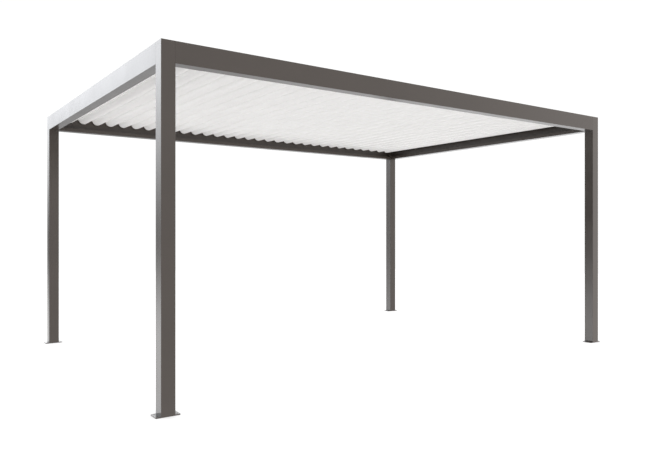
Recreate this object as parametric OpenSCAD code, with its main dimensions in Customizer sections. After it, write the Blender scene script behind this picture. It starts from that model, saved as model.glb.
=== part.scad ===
// Louvred metal gazebo: four square posts on bolted feet carry a frame of gutter beams.
// A row of hollow curved louvres turns on pins between the front and back beams.
// Millimetres. X runs along the front, Y from front to back, Z up from the ground.
// The origin is on the ground under the middle of the roof. The louvres are drawn closed.

/* [Overall] */
// Length along X over the outside faces of the posts
frame_length = 5030; // [3000:10:6000]
// Depth along Y over the outside faces of the posts
frame_depth = 3500; // [2500:10:4500]
// Height from the ground to the top of the roof frame
frame_height = 2500; // [2200:10:3000]

/* [Posts] */
// Side of the square post tube
post_side = 100; // [90:5:140]
// Wall of the post tube
post_wall = 3; // [2:0.5:6]
// Outside corner radius of the post tube
post_corner = 1; // [0.5:0.5:8]
// Thickness of the plate that closes the top of a post
cap_thickness = 3; // [2:0.5:8]
// Depth of the plug under the cap, inside the post
cap_plug_depth = 10; // [6:1:30]

/* [Feet] */
// Thickness of the foot plate
foot_thickness = 8; // [5:1:15]
// Length of the ear that stands out on each side of the post
foot_ear = 36; // [30:1:60]
// Corner radius of the foot plate
foot_corner = 6; // [2:1:12]
// Height of the sleeve that holds the post from inside
foot_sleeve_height = 90; // [40:5:200]
// Wall of the sleeve
foot_sleeve_wall = 4; // [3:0.5:8]
// Radius of an anchor hole
anchor_hole_radius = 5.5; // [4:0.5:7]
// Distance of an anchor hole from the front or back edge of the plate
anchor_inset = 20; // [15:1:30]

/* [Roof frame] */
// Height of a beam
beam_height = 150; // [130:5:220]
// Width of a beam over its chamber and gutter
beam_width = 90; // [75:1:90]
// Width of the closed chamber along the outside of a beam
chamber_width = 45; // [35:1:55]
// Height of the lip along the inside of the gutter
gutter_lip = 40; // [25:1:50]
// Wall of a beam
beam_wall = 3; // [2:0.5:5]
// Outside corner radius of a beam
beam_corner = 1; // [0.5:0.5:6]

/* [Drains] */
// Radius of the hole that drains a gutter into a post
drain_radius = 12; // [8:1:13]
// Radius of the hole that lets the water out through a foot plate
outlet_radius = 20; // [10:1:35]

/* [Louvres] */
// Distance from one louvre to the next
louvre_pitch = 150; // [145:1:170]
// Radius of the rounded underside
louvre_radius = 56; // [52:1:58]
// Depth from the lowest line to the flat top
louvre_depth = 48; // [46:1:50]
// Thickness of the skin
louvre_skin = 2; // [1.5:0.1:3]
// Thickness of the end plate that closes a louvre
louvre_end_plate = 3; // [2:0.5:6]
// Distance that the lip reaches over the neighbour's rim
lip_overlap = 18; // [12:1:22]
// Thickness of the lip
lip_thickness = 3; // [2.5:0.5:4]
// Gap from the lip down to the neighbour's rim
lip_gap = 6; // [5:0.5:8]
// Gap from the end of the lip to the wall of the neighbour's channel
channel_gap = 8; // [6:0.5:12]
// Depth of the rain channel along the right side of a louvre
channel_depth = 12; // [8:1:16]
// Distance from the top of the roof frame down to the flat top of a louvre
roof_drop = 5; // [2:1:20]
// Gap from a louvre's end to the beam wall that carries its pin
louvre_end_gap = 30; // [20:1:36]
// Smallest gap from the row of louvres to the posts beside it
row_gap = 5.5; // [5:0.5:40]

/* [Closing strips] */
// Thickness of the angle strips between the row of louvres and the side beams
strip_thickness = 2; // [1.5:0.5:3]
// Height of the leg that is fixed to the beam
strip_leg = 28; // [20:1:40]
// Height of the edge that stands up along the left strip
strip_upstand = 4; // [3:0.5:6]

/* [Pivots] */
// Radius of the pivot pin
pin_radius = 5; // [4:0.5:6]
// Height of the pin above the lowest line of the louvre
pin_height = 28; // [24:1:32]
// Distance from the lowest line back to the pin, towards the lip
pin_setback = 12; // [6:1:18]
// Gap between the pin and its bush
pin_clearance = 0.3; // [0.2:0.05:0.5]
// Thickness of the bush around the pin
bush_wall = 1.5; // [1.2:0.1:2.5]
// Gap between the bush and the hole in the beam
bush_clearance = 0.2; // [0.1:0.05:0.4]
// Width of the bush collar outside the sleeve
bush_collar = 3; // [2:0.5:5]
// Gap from the bush collar to the louvre's end
bush_end_gap = 8; // [5:0.5:12]
// Length of the bush and pin behind the beam wall
pin_tail = 4; // [2:0.5:10]

/* [Show] */
// One sub-part by name, or all of them

/* [Hidden] */
$fn = 96;
// Extra length that carries a cut through a face
cut = 1;
// Gap between a post and the sleeve or plug inside it
slide_gap = 0.5;
dark_grey = [0.27, 0.26, 0.25];
light_grey = [0.93, 0.93, 0.92];
black = [0.08, 0.08, 0.08];

post_x = (frame_length - post_side) / 2;
post_y = (frame_depth - post_side) / 2;
post_height = frame_height - foot_thickness - cap_thickness;
post_bore = post_side - 2 * post_wall;
sleeve_side = post_bore - 2 * slide_gap;
foot_length = post_side + 2 * foot_ear;
anchor_x = (post_side + foot_ear) / 2;
anchor_y = post_side / 2 - anchor_inset;

front_beam_length = frame_length - 2 * post_side;
side_beam_length = frame_depth - 2 * post_side;
beam_z = frame_height - beam_height;
chamber_face_x = frame_length / 2 - chamber_width;
chamber_face_y = frame_depth / 2 - chamber_width;

// Drain holes: level with the gutter's floor, opposite the middle of its width
gutter_middle = (chamber_width + beam_width - beam_wall) / 2;
drain_shift = gutter_middle - post_side / 2;
drain_z = beam_z + beam_wall + drain_radius;

// Section of a louvre: the lowest line is at zero, the lip points to the left
rim_z = louvre_depth - lip_thickness - lip_gap;
rim_reach = sqrt(pow(louvre_radius, 2) - pow(louvre_radius - rim_z, 2));
lip_reach = louvre_pitch - rim_reach + lip_overlap;
channel_wall = louvre_pitch - lip_reach - channel_gap;
channel_floor = rim_z - channel_depth;

// Row of louvres, centred between the left and right posts
louvre_width = lip_reach + rim_reach;
row_room = frame_length - 2 * (post_side + row_gap);
louvre_count = floor((row_room - louvre_width) / louvre_pitch) + 1;
row_start = -((louvre_count - 1) * louvre_pitch + louvre_width) / 2 + lip_reach;
louvre_length = 2 * (chamber_face_y - louvre_end_gap);
louvre_z = frame_height - roof_drop - louvre_depth;
pin_z = louvre_z + pin_height;
pin_end = chamber_face_y + beam_wall + pin_tail;

bush_bore = pin_radius + pin_clearance;
bush_radius = bush_bore + bush_wall;
bush_hole = bush_radius + bush_clearance;
collar_length = louvre_end_gap - bush_end_gap;

function louvre_x(number) = row_start + (number - 1) * louvre_pitch;
function pin_x(number) = louvre_x(number) - pin_setback;
function louvre_name(number) = str("louvre_", number < 10 ? "0" : "", number);

// Rectangle with rounded corners, centred
module rounded_rectangle(length, width, radius) {
    square([length - 2 * radius, width], center = true);
    square([length, width - 2 * radius], center = true);
    for (side = [-1, 1], end = [-1, 1])
        translate([side * (length / 2 - radius), end * (width / 2 - radius)]) circle(radius);
}

// Square ring of a given wall, centred
module square_ring(side, wall) {
    difference() {
        square(side, center = true);
        square(side - 2 * wall, center = true);
    }
}

// Foot plate with a water outlet, an anchor hole near each corner and a sleeve for the post
module foot(side, end) {
    color(dark_grey) translate([side * post_x, end * post_y, 0]) {
        linear_extrude(foot_thickness) difference() {
            rounded_rectangle(foot_length, post_side, foot_corner);
            circle(outlet_radius);
            for (ear = [-1, 1], row = [-1, 1])
                translate([ear * anchor_x, row * anchor_y]) circle(anchor_hole_radius);
        }
        linear_extrude(foot_thickness + foot_sleeve_height) square_ring(sleeve_side, foot_sleeve_wall);
    }
}

// Square tube from the foot plate up to the cap, with a drain hole beside each gutter
module post(side, end) {
    color(dark_grey) translate([side * post_x, end * post_y, 0]) difference() {
        translate([0, 0, foot_thickness]) linear_extrude(post_height) difference() {
            rounded_rectangle(post_side, post_side, post_corner);
            square(post_bore, center = true);
        }
        translate([0, -end * drain_shift, drain_z]) rotate([0, -side * 90, 0]) drain();
        translate([-side * drain_shift, 0, drain_z]) rotate([end * 90, 0, 0]) drain();
    }
}

// Cut of a drain hole, from the middle of a post out through its wall
module drain() {
    cylinder(r = drain_radius, h = post_side / 2 + cut);
}

// Plate on top of each post, with a plug inside the tube
module post_caps() {
    color(dark_grey) for (side = [-1, 1], end = [-1, 1])
        translate([side * post_x, end * post_y, frame_height - cap_thickness]) {
            linear_extrude(cap_thickness) rounded_rectangle(post_side, post_side, post_corner);
            translate([0, 0, -cap_plug_depth]) linear_extrude(cap_plug_depth + cap_thickness)
                square_ring(sleeve_side, foot_sleeve_wall);
        }
}

// Draws its children on the low side of an axis, or their mirror image on the high side
module on_side(axis, side) {
    if (side > 0) mirror(axis) children();
    else children();
}

// Section of a beam: outside face at zero, chamber outside, open gutter inside
module beam_section() {
    difference() {
        union() {
            translate([chamber_width / 2, beam_height / 2])
                rounded_rectangle(chamber_width, beam_height, beam_corner);
            translate([beam_width / 2, gutter_lip / 2])
                rounded_rectangle(beam_width, gutter_lip, beam_corner);
        }
        translate([beam_wall, beam_wall])
            square([chamber_width - 2 * beam_wall, beam_height - 2 * beam_wall]);
        translate([chamber_width, beam_wall])
            square([beam_width - chamber_width - beam_wall, beam_height]);
    }
}

// Front or back beam, with a hole in its chamber wall for each pivot bush
module long_beam(end) {
    color(dark_grey) on_side([0, 1, 0], end) difference() {
        translate([-front_beam_length / 2, -frame_depth / 2, beam_z]) rotate([90, 0, 90])
            linear_extrude(front_beam_length) beam_section();
        for (number = [1:louvre_count])
            translate([pin_x(number), -chamber_face_y + cut, pin_z]) rotate([90, 0, 0])
                cylinder(r = bush_hole, h = beam_wall + 2 * cut);
    }
}

// Left or right beam
module side_beam(side) {
    color(dark_grey) on_side([1, 0, 0], side)
        translate([-frame_length / 2, side_beam_length / 2, beam_z]) rotate([90, 0, 0])
        linear_extrude(side_beam_length) beam_section();
}

// Angle strip on a side beam: the fixed leg hangs from a flange at a given height
module closing_angle(reach, flange_z) {
    translate([0, flange_z - strip_thickness]) square([reach, strip_thickness]);
    translate([0, flange_z - strip_leg]) square([strip_thickness, strip_leg]);
}

// Strip under the lip of the first louvre, with an edge that stands up
module left_closing_strip() {
    reach = chamber_face_x + louvre_x(1) - lip_reach + lip_overlap;
    color(dark_grey) translate([-chamber_face_x, side_beam_length / 2, louvre_z]) rotate([90, 0, 0])
        linear_extrude(side_beam_length) {
            closing_angle(reach, rim_z - strip_upstand);
            translate([reach - strip_thickness, rim_z - strip_upstand - strip_thickness])
                square([strip_thickness, strip_upstand + strip_thickness]);
        }
}

// Strip over the channel of the last louvre, level with the other lips
module right_closing_strip() {
    reach = chamber_face_x - louvre_x(louvre_count + 1) + lip_reach;
    color(dark_grey) translate([chamber_face_x, side_beam_length / 2, louvre_z]) mirror([1, 0, 0])
        rotate([90, 0, 0]) linear_extrude(side_beam_length) closing_angle(reach, louvre_depth);
}

// Bushes of one long beam, each with its collar against the chamber wall
module pivot_bushes(end) {
    color(black) on_side([0, 1, 0], end) for (number = [1:louvre_count])
        translate([pin_x(number), -chamber_face_y, pin_z]) rotate([90, 0, 0])
            difference() {
                union() {
                    cylinder(r = bush_radius, h = beam_wall + pin_tail);
                    translate([0, 0, -collar_length])
                        cylinder(r = bush_radius + bush_collar, h = collar_length);
                }
                translate([0, 0, -collar_length - cut])
                    cylinder(r = bush_bore, h = collar_length + beam_wall + pin_tail + 2 * cut);
            }
}

// Round of the underside, at a given depth in from the outside
module louvre_round(inset) {
    translate([0, louvre_radius]) circle(louvre_radius - inset);
}

// Outside of a louvre: round underside, flat top, lip to the left and rain channel to the right
module louvre_outline() {
    difference() {
        union() {
            intersection() {
                louvre_round(0);
                translate([-louvre_radius, 0]) square([louvre_radius + channel_wall, louvre_depth]);
            }
            intersection() {
                louvre_round(0);
                translate([-louvre_radius, 0]) square([2 * louvre_radius, rim_z]);
            }
        }
        intersection() {
            louvre_round(louvre_skin);
            translate([channel_wall, channel_floor]) square([louvre_radius, louvre_depth]);
        }
    }
    translate([-lip_reach + lip_thickness / 2, louvre_depth - lip_thickness])
        square([lip_reach + channel_wall - lip_thickness / 2, lip_thickness]);
    translate([-lip_reach + lip_thickness / 2, louvre_depth - lip_thickness / 2])
        circle(lip_thickness / 2);
}

// Hollow inside a louvre
module louvre_hollow() {
    intersection() {
        louvre_round(louvre_skin);
        union() {
            translate([-louvre_radius, 0])
                square([louvre_radius + channel_wall - louvre_skin, louvre_depth - lip_thickness]);
            translate([-louvre_radius, 0]) square([2 * louvre_radius, channel_floor - louvre_skin]);
        }
    }
}

// One louvre with its end plates and pivot pins
module louvre(number) {
    color(light_grey) translate([louvre_x(number), 0, louvre_z]) {
        difference() {
            translate([0, louvre_length / 2, 0]) rotate([90, 0, 0])
                linear_extrude(louvre_length) louvre_outline();
            translate([0, louvre_length / 2 - louvre_end_plate, 0]) rotate([90, 0, 0])
                linear_extrude(louvre_length - 2 * louvre_end_plate) louvre_hollow();
        }
        for (end = [-1, 1])
            translate([-pin_setback, end * (louvre_length - louvre_end_plate) / 2, pin_height])
                rotate([-end * 90, 0, 0])
                cylinder(r = pin_radius, h = pin_end - (louvre_length - louvre_end_plate) / 2);
    }
}

foot(-1, -1);  // front_left_foot
foot(1, -1);  // front_right_foot
foot(-1, 1);  // back_left_foot
foot(1, 1);  // back_right_foot
post(-1, -1);  // front_left_post
post(1, -1);  // front_right_post
post(-1, 1);  // back_left_post
post(1, 1);  // back_right_post
post_caps();
long_beam(-1);  // front_beam
long_beam(1);  // back_beam
side_beam(-1);  // left_beam
side_beam(1);  // right_beam
left_closing_strip();
right_closing_strip();
pivot_bushes(-1);  // front_pivot_bushes
pivot_bushes(1);  // back_pivot_bushes
for (number = [1:louvre_count])
    louvre(number);
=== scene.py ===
import math
import bmesh
import bpy
from mathutils import Matrix, Vector


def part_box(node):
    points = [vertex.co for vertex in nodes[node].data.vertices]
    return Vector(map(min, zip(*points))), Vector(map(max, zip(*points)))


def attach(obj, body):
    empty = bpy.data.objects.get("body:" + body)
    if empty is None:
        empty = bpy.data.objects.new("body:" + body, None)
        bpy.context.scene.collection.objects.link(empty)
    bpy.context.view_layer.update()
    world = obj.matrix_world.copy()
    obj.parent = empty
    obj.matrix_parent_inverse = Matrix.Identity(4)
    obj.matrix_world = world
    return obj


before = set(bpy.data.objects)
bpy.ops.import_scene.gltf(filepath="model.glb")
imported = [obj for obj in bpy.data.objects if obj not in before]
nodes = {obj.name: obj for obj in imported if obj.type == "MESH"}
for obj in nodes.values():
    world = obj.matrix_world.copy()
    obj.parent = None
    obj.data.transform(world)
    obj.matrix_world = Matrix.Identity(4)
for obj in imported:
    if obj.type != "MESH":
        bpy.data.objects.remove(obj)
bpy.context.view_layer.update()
scene = bpy.context.scene
print("frame loaded,", len(nodes), "nodes")

longBeamNames = ["back_beam", "front_beam"]   # these carry the louvres
louvreNames = sorted(n for n in nodes if n.startswith("louvre_"))
bushNames = sorted(n for n in nodes if n.endswith("_bushes"))
frameNames = sorted(n for n in nodes if n not in longBeamNames + louvreNames + bushNames)


# Small tools for node materials

def newMaterial(name):
    mat = bpy.data.materials.new(name)
    mat.use_nodes = True
    tree = mat.node_tree
    coords = addNode(tree, "ShaderNodeTexCoord").outputs["Object"]
    return mat, tree, tree.nodes["Principled BSDF"], coords


def addNode(tree, kind, **values):
    node = tree.nodes.new(kind)
    for key, value in values.items():
        if key in node.inputs:
            node.inputs[key].default_value = value
        else:
            setattr(node, key, value)
    return node


def noiseField(tree, coords, scale, detail, rough, stretch=(1.0, 1.0, 1.0)):
    mapping = addNode(tree, "ShaderNodeMapping", Scale=stretch)
    noise = addNode(tree, "ShaderNodeTexNoise", Scale=scale, Detail=detail, Roughness=rough)
    tree.links.new(coords, mapping.inputs["Vector"])
    tree.links.new(mapping.outputs["Vector"], noise.inputs["Vector"])
    return noise.outputs["Fac"]


def spread(tree, field, low, high, fromLow=0.3, fromHigh=0.7):
    ranger = addNode(tree, "ShaderNodeMapRange")
    ranger.inputs["From Min"].default_value = fromLow
    ranger.inputs["From Max"].default_value = fromHigh
    ranger.inputs["To Min"].default_value = low
    ranger.inputs["To Max"].default_value = high
    tree.links.new(field, ranger.inputs["Value"])
    return ranger.outputs["Result"]


def blendColours(tree, field, first, second):
    mix = addNode(tree, "ShaderNodeMix", data_type="RGBA")
    colourIns = [s for s in mix.inputs if s.type == "RGBA"]
    colourIns[0].default_value = (*first, 1.0)
    colourIns[1].default_value = (*second, 1.0)
    tree.links.new(field, mix.inputs[0])
    return [s for s in mix.outputs if s.type == "RGBA"][0]


def paint(tree, shader, tint, cloud, look, rough):
    colour = blendColours(tree, tint, look["dark"], look["light"])
    tree.links.new(colour, shader.inputs["Base Color"])
    tree.links.new(spread(tree, cloud, *rough), shader.inputs["Roughness"])


def stackBump(tree, normal, field, strength, distance):
    bump = addNode(tree, "ShaderNodeBump", Strength=strength, Distance=distance)
    tree.links.new(field, bump.inputs["Height"])
    if normal is not None:
        tree.links.new(normal, bump.inputs["Normal"])
    return bump.outputs["Normal"]


# Finishes: a noise is scale, detail and roughness, and a bump is strength and depth

frameCoatLook = {
    "dark": (0.033, 0.027, 0.0225),
    "light": (0.042, 0.0345, 0.029),
    "rough": (0.2, 0.26),
    "longBeamRough": (0.28, 0.33),   # the long beams are a little duller
    "ior": 1.5,
    "cloud": (2.3, 4.0, 0.6),
    "grain": (160.0, 3.0, 0.6),
    "grainShare": 0.45,              # of the way from dark to light, the clouds give the rest
    "peel": (700.0, 1.0, 0.4),       # powder coat's orange peel
    "peelBump": (0.35, 0.00005),
}


def makeFrameCoat(name, look, rough):
    mat, tree, shader, coords = newMaterial(name)
    cloud = noiseField(tree, coords, *look["cloud"])
    grain = noiseField(tree, coords, *look["grain"])
    peel = noiseField(tree, coords, *look["peel"])
    tint = addNode(tree, "ShaderNodeMath", operation="MULTIPLY_ADD")
    tree.links.new(grain, tint.inputs[0])
    tint.inputs[1].default_value = look["grainShare"]
    tree.links.new(spread(tree, cloud, 0.0, 1.0 - look["grainShare"]), tint.inputs[2])
    paint(tree, shader, tint.outputs[0], cloud, look, rough)
    shader.inputs["IOR"].default_value = look["ior"]
    tree.links.new(stackBump(tree, None, peel, *look["peelBump"]), shader.inputs["Normal"])
    return mat


louvreCoatLook = {
    "dark": (0.913, 0.913, 0.903),
    "light": (0.928, 0.928, 0.918),
    "rough": (0.5, 0.62),
    "ior": 1.5,
    "cloud": (1.7, 4.0, 0.6),
    "lines": (1.0, 2.0, 0.5),
    "lineStretch": (900.0, 1.2, 900.0),   # faint lines along the extruded length
    "lineBump": (0.3, 0.00003),
    "peel": (800.0, 1.0, 0.4),
    "peelBump": (0.3, 0.00003),
}


def makeLouvreCoat(look):
    mat, tree, shader, coords = newMaterial("louvreCoat")
    cloud = noiseField(tree, coords, *look["cloud"])
    lines = noiseField(tree, coords, *look["lines"], look["lineStretch"])
    peel = noiseField(tree, coords, *look["peel"])
    paint(tree, shader, spread(tree, cloud, 0.0, 1.0), cloud, look, look["rough"])
    shader.inputs["IOR"].default_value = look["ior"]
    normal = stackBump(tree, None, lines, *look["lineBump"])
    normal = stackBump(tree, normal, peel, *look["peelBump"])
    tree.links.new(normal, shader.inputs["Normal"])
    return mat


bushPlasticLook = {
    "dark": (0.012, 0.012, 0.012),
    "light": (0.03, 0.03, 0.031),
    "rough": (0.42, 0.6),
    "cloud": (30.0, 3.0, 0.6),
    "grain": (1200.0, 2.0, 0.5),
    "grainBump": (0.4, 0.00004),
}


def makeBushPlastic(look):
    mat, tree, shader, coords = newMaterial("bushPlastic")
    cloud = noiseField(tree, coords, *look["cloud"])
    grain = noiseField(tree, coords, *look["grain"])
    paint(tree, shader, spread(tree, cloud, 0.0, 1.0), cloud, look, look["rough"])
    tree.links.new(stackBump(tree, None, grain, *look["grainBump"]), shader.inputs["Normal"])
    return mat


frameCoat = makeFrameCoat("frameCoat", frameCoatLook, frameCoatLook["rough"])
longBeamCoat = makeFrameCoat("longBeamCoat", frameCoatLook, frameCoatLook["longBeamRough"])
louvreCoat = makeLouvreCoat(louvreCoatLook)
bushPlastic = makeBushPlastic(bushPlasticLook)
coatedNames = ((frameNames, frameCoat), (longBeamNames, longBeamCoat),
               (louvreNames, louvreCoat), (bushNames, bushPlastic))
for names, coat in coatedNames:
    for name in names:
        nodes[name].material_slots[0].material = coat
print("finishes made")


# Pieces

def addPiece(name, bm, material, body):
    mesh = bpy.data.meshes.new(name)
    bmesh.ops.recalc_face_normals(bm, faces=bm.faces)
    bm.to_mesh(mesh)
    bm.free()
    mesh.materials.append(material)
    piece = bpy.data.objects.new(name, mesh)
    scene.collection.objects.link(piece)
    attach(piece, body)
    return piece


def raiseFace(bm, face, rise, shrink):
    new = bmesh.ops.extrude_discrete_faces(bm, faces=[face])["faces"][0]
    bmesh.ops.translate(bm, vec=(0, 0, rise), verts=new.verts)
    bmesh.ops.scale(bm, vec=(shrink, shrink, 1.0), verts=new.verts)
    return new


screwHead = {
    "radius": 0.0034,
    "height": 0.0019,
    "dome": 0.0009,     # rise of the rounded edge
    "crown": 0.72,      # flat top, as a share of the radius
    "socket": 0.0015,   # radius of the socket
    "socketDepth": 0.0011,
    "sides": 12,
}


def makeScrew(look):
    bm = bmesh.new()
    base = bmesh.ops.create_circle(bm, cap_ends=True, segments=look["sides"], radius=look["radius"])
    face = base["verts"][0].link_faces[0]
    for rise, shrink in ((look["height"] - look["dome"], 1.0), (look["dome"], look["crown"])):
        face = raiseFace(bm, face, rise, shrink)
    rim = look["radius"] * look["crown"] - look["socket"]
    bmesh.ops.inset_region(bm, faces=[face], thickness=rim, use_even_offset=True)
    raiseFace(bm, face, -look["socketDepth"], 1.0)
    bmesh.ops.recalc_face_normals(bm, faces=bm.faces)
    mesh = bpy.data.meshes.new("screw")
    bm.to_mesh(mesh)
    bm.free()
    return mesh


def placeCopy(bm, mesh, place, direction):
    start = len(bm.verts)
    bm.from_mesh(mesh)
    bm.verts.ensure_lookup_table()
    turn = Vector((0, 0, 1)).rotation_difference(Vector(direction)).to_matrix().to_4x4()
    bmesh.ops.transform(bm, matrix=Matrix.Translation(place) @ turn, verts=bm.verts[start:])


screwMesh = makeScrew(screwHead)

# Louvre trim: screws in the end plates and a soft seal under the lip
louvreTrim = {
    "depth": 0.048,
    "ridge": 0.1146427,            # lip edge to the lowest line
    "screws": ((-0.040, 0.037), (0.013, 0.037), (-0.003, 0.010)),  # from the lowest line
    "endPlate": 1.675,             # outside face, from the middle
    "sealFromLip": 0.017,          # middle of the seal, behind the edge of the lip
    "sealTop": 0.045,              # underside of the lip
    "sealRadius": 0.0018,
    "sealSides": 10,
    "sealDrop": 0.8,               # bulb's middle below its foot, as a share of the radius
    "sealFoot": (0.006, 0.001),    # width and thickness
    "sealLength": 3.34,
}


def addSeal(bm, x, top, look):
    radius = look["sealRadius"]
    length = look["sealLength"]
    width, thick = look["sealFoot"]
    bulb = bmesh.ops.create_cone(bm, cap_ends=True, segments=look["sealSides"],
                                 radius1=radius, radius2=radius, depth=length)["verts"]
    bmesh.ops.transform(bm, matrix=Matrix.Rotation(math.radians(90), 4, "X"), verts=bulb)
    bmesh.ops.translate(bm, vec=(x, 0, top - thick - radius * look["sealDrop"]), verts=bulb)
    foot = bmesh.ops.create_cube(bm, size=1.0)["verts"]
    bmesh.ops.scale(bm, vec=(width, length, thick), verts=foot)
    bmesh.ops.translate(bm, vec=(x, 0, top - thick / 2), verts=foot)


for name in louvreNames:
    low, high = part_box(name)
    ridge = low.x + louvreTrim["ridge"]
    bottom = high.z - louvreTrim["depth"]
    bm = bmesh.new()
    for across, up in louvreTrim["screws"]:
        for end in (-1, 1):
            place = (ridge + across, end * louvreTrim["endPlate"], bottom + up)
            placeCopy(bm, screwMesh, place, (0, end, 0))
    addPiece(name + "_end_screws", bm, louvreCoat, name)
    bm = bmesh.new()
    addSeal(bm, low.x + louvreTrim["sealFromLip"], bottom + louvreTrim["sealTop"], louvreTrim)
    addPiece(name + "_lip_seal", bm, louvreCoat, name)
print("louvre trim made")


# Screws along the closing strips
stripScrews = {
    "spacing": 0.30,
    "rows": 5,            # on each side of the middle
    "thickness": 0.002,   # of the strip's leg
    "height": 0.012,      # above the leg's lower edge
}

bm = bmesh.new()
for side, name in ((-1, "left_closing_strip"), (1, "right_closing_strip")):
    low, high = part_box(name)
    legX = low.x + stripScrews["thickness"] if side < 0 else high.x - stripScrews["thickness"]
    legZ = low.z + stripScrews["height"]
    for row in range(-stripScrews["rows"], stripScrews["rows"] + 1):
        placeCopy(bm, screwMesh, (legX, row * stripScrews["spacing"], legZ), (-side, 0, 0))
addPiece("strip_screws", bm, frameCoat, "frame")
print("strip screws made")


# Floor, light and camera

floorLook = {
    "radius": 14.0,
    "sides": 96,
    "drop": 0.0005,                # just below the feet
    "dark": (0.291, 0.291, 0.291),
    "light": (0.30, 0.30, 0.30),
    "rough": 0.9,
    "cloud": (0.8, 3.0, 0.5),
    # painted shade: the floor's emission is lowered beside the feet, a contact shadow painted into the
    # glow
    "glow": (0.55, 0.95),          # from the shade beside the feet to the open floor
    "paintedShadeReach": 0.12,
    "paintedShadeSamples": 8,
    "openness": (0.4, 1.0),        # how much open space gives the two glows
}


def makeFloorLook(look):
    mat, tree, shader, coords = newMaterial("paleFloor")
    cloud = noiseField(tree, coords, *look["cloud"])
    tree.links.new(blendColours(tree, cloud, look["dark"], look["light"]), shader.inputs["Base Color"])
    shader.inputs["Roughness"].default_value = look["rough"]
    shader.inputs["Specular IOR Level"].default_value = 0.0
    shader.inputs["Emission Color"].default_value = (1.0, 1.0, 1.0, 1.0)
    # painted shade: ambient occlusion near the feet dims the floor's emission
    paintedFootShade = addNode(tree, "ShaderNodeAmbientOcclusion", Distance=look["paintedShadeReach"])
    paintedFootShade.samples = look["paintedShadeSamples"]
    glow = spread(tree, paintedFootShade.outputs["AO"], *look["glow"], *look["openness"])
    tree.links.new(glow, shader.inputs["Emission Strength"])
    return mat


bm = bmesh.new()
bmesh.ops.create_circle(bm, cap_ends=True, segments=floorLook["sides"], radius=floorLook["radius"])
bmesh.ops.translate(bm, vec=(0, 0, -floorLook["drop"]), verts=bm.verts)
mesh = bpy.data.meshes.new("floor")
bm.to_mesh(mesh)
bm.free()
mesh.materials.append(makeFloorLook(floorLook))
floor = bpy.data.objects.new("floor", mesh)
scene.collection.objects.link(floor)
floor.visible_diffuse = False   # light comes up through the floor
floor.visible_glossy = False
floor.visible_shadow = False

# Soft light zones: along each axis of a direction, light comes in from the first level to the second
# A second ramp on the same axis, such as z2, ends the zone on its other side
lightTints = {"neutral": (0.99, 0.99, 1.0), "cool": (0.945, 0.965, 1.0), "warm": (1.0, 0.95, 0.925)}
studio = {
    "all": {"light": 0.22, "tint": "neutral"},
    "overhead": {"light": 0.3, "tint": "neutral", "z": (0.35, 0.9)},
    "below": {"light": 0.09, "tint": "cool", "z": (-0.3, -0.8)},
    "front": {"light": 1.25, "tint": "warm", "y": (0.0, -0.6), "z": (0.9, 0.4)},
    "frontRight": {"light": 0.5, "tint": "warm", "y": (0.0, -0.6), "x": (0.68, 0.9)},
    "lowFront": {"light": 0.5, "tint": "cool", "y": (-0.1, -0.5), "z": (-0.2, -0.5)},
    "backSoftbox": {"light": 4.4, "tint": "cool", "y": (0.1, 0.5), "x": (-0.83, -0.66), "x2": (0.4, -0.3),
                    "z": (-0.02, 0.3), "z2": (0.55, 0.33)},
    "backRight": {"light": 2.3, "tint": "neutral", "y": (0.2, 0.5), "x": (0.0, 0.2),
                  "z": (0.03, 0.13), "z2": (0.45, 0.3)},
    "leftGlow": {"light": 1.1, "tint": "neutral", "y": (0.5, 0.66), "x": (-0.2, -0.6), "x2": (-0.8, -0.7),
                 "z": (-0.2, -0.1), "z2": (0.16, 0.06)},
    "backGlow": {"light": 0.42, "tint": "neutral", "y": (0.945, 0.972),
                 "z": (-0.01, 0.08), "z2": (0.17, 0.1)},
    "farLeft": {"light": 1.6, "tint": "neutral", "y": (0.2, 0.5), "x": (-0.72, -0.84),
                "z": (-0.05, -0.13), "z2": (-0.35, -0.2)},
    "lowLeft": {"light": 3.4, "tint": "neutral", "y": (0.2, 0.52), "x": (0.15, -0.85),
                "z": (-0.01, -0.15), "z2": (-0.45, -0.22)},
    "lowRight": {"light": 1.3, "tint": "neutral", "y": (-0.1, 0.2), "x": (0.1, 0.85),
                 "z": (0.0, -0.05), "z2": (-0.55, -0.35)},
    "lowBack": {"light": 0.46, "tint": "neutral", "y": (0.4, 0.9),
                "z": (-0.05, -0.15), "z2": (-0.55, -0.35)},
}
backdropLight = 1.05   # what the camera sees behind everything


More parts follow.
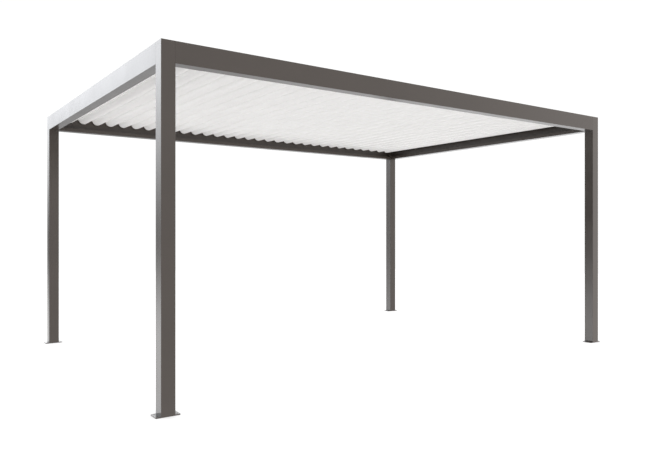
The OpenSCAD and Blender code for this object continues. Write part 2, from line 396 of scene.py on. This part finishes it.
def makeStudio(zones):
    world = bpy.data.worlds.new("studio")
    scene.world = world
    world.use_nodes = True
    tree = world.node_tree
    tree.nodes.clear()
    split = addNode(tree, "ShaderNodeSeparateXYZ")
    tree.links.new(addNode(tree, "ShaderNodeTexCoord").outputs["Generated"], split.inputs[0])

    def ramp(axis, start, end):
        ranger = addNode(tree, "ShaderNodeMapRange", interpolation_type="SMOOTHSTEP")
        ranger.inputs["From Min"].default_value = start
        ranger.inputs["From Max"].default_value = end
        tree.links.new(split.outputs[axis], ranger.inputs["Value"])
        return ranger.outputs["Result"]

    def zoneGlow(zone):
        glow = addNode(tree, "ShaderNodeVectorMath", operation="SCALE")
        glow.inputs["Vector"].default_value = lightTints[zone["tint"]]
        share = glow.inputs["Scale"]
        share.default_value = zone["light"]
        for key, limits in zone.items():
            if key[0] in "xyz":
                step = addNode(tree, "ShaderNodeMath", operation="MULTIPLY")
                tree.links.new(ramp(key[0].upper(), *limits), step.inputs[0])
                step.inputs[1].default_value = zone["light"]   # the next ramp takes this place
                tree.links.new(step.outputs[0], share)
                share = step.inputs[1]
        return glow.outputs["Vector"]

    total = None
    for zone in zones.values():
        glow = zoneGlow(zone)
        if total is not None:
            add = addNode(tree, "ShaderNodeVectorMath", operation="ADD")
            tree.links.new(total, add.inputs[0])
            tree.links.new(glow, add.inputs[1])
            glow = add.outputs["Vector"]
        total = glow
    lit = addNode(tree, "ShaderNodeBackground")
    tree.links.new(total, lit.inputs["Color"])
    white = addNode(tree, "ShaderNodeBackground", Color=(1.0, 1.0, 1.0, 1.0), Strength=backdropLight)
    path = addNode(tree, "ShaderNodeLightPath")
    mix = addNode(tree, "ShaderNodeMixShader")
    tree.links.new(path.outputs["Is Camera Ray"], mix.inputs[0])
    tree.links.new(lit.outputs[0], mix.inputs[1])
    tree.links.new(white.outputs[0], mix.inputs[2])
    out = addNode(tree, "ShaderNodeOutputWorld")
    tree.links.new(mix.outputs[0], out.inputs[0])


makeStudio(studio)
scene.view_settings.view_transform = "Standard"
scene.view_settings.look = "None"

cameraView = {
    "place": (-4.018, -5.777, 1.2255),
    "turn": (90.0, 0.0, -35.0),
    "lens": 35.03,
    "sensor": 36.0,
    "shift": 0.0006,   # picture's centre lies a little above the frame's
}
cameraData = bpy.data.cameras.new("camera")
cameraData.lens = cameraView["lens"]
cameraData.sensor_width = cameraView["sensor"]
cameraData.sensor_fit = "HORIZONTAL"
cameraData.shift_y = cameraView["shift"]
camera = bpy.data.objects.new("camera", cameraData)
camera.location = cameraView["place"]
camera.rotation_euler = [math.radians(a) for a in cameraView["turn"]]
scene.collection.objects.link(camera)
scene.camera = camera
print("studio and camera ready")
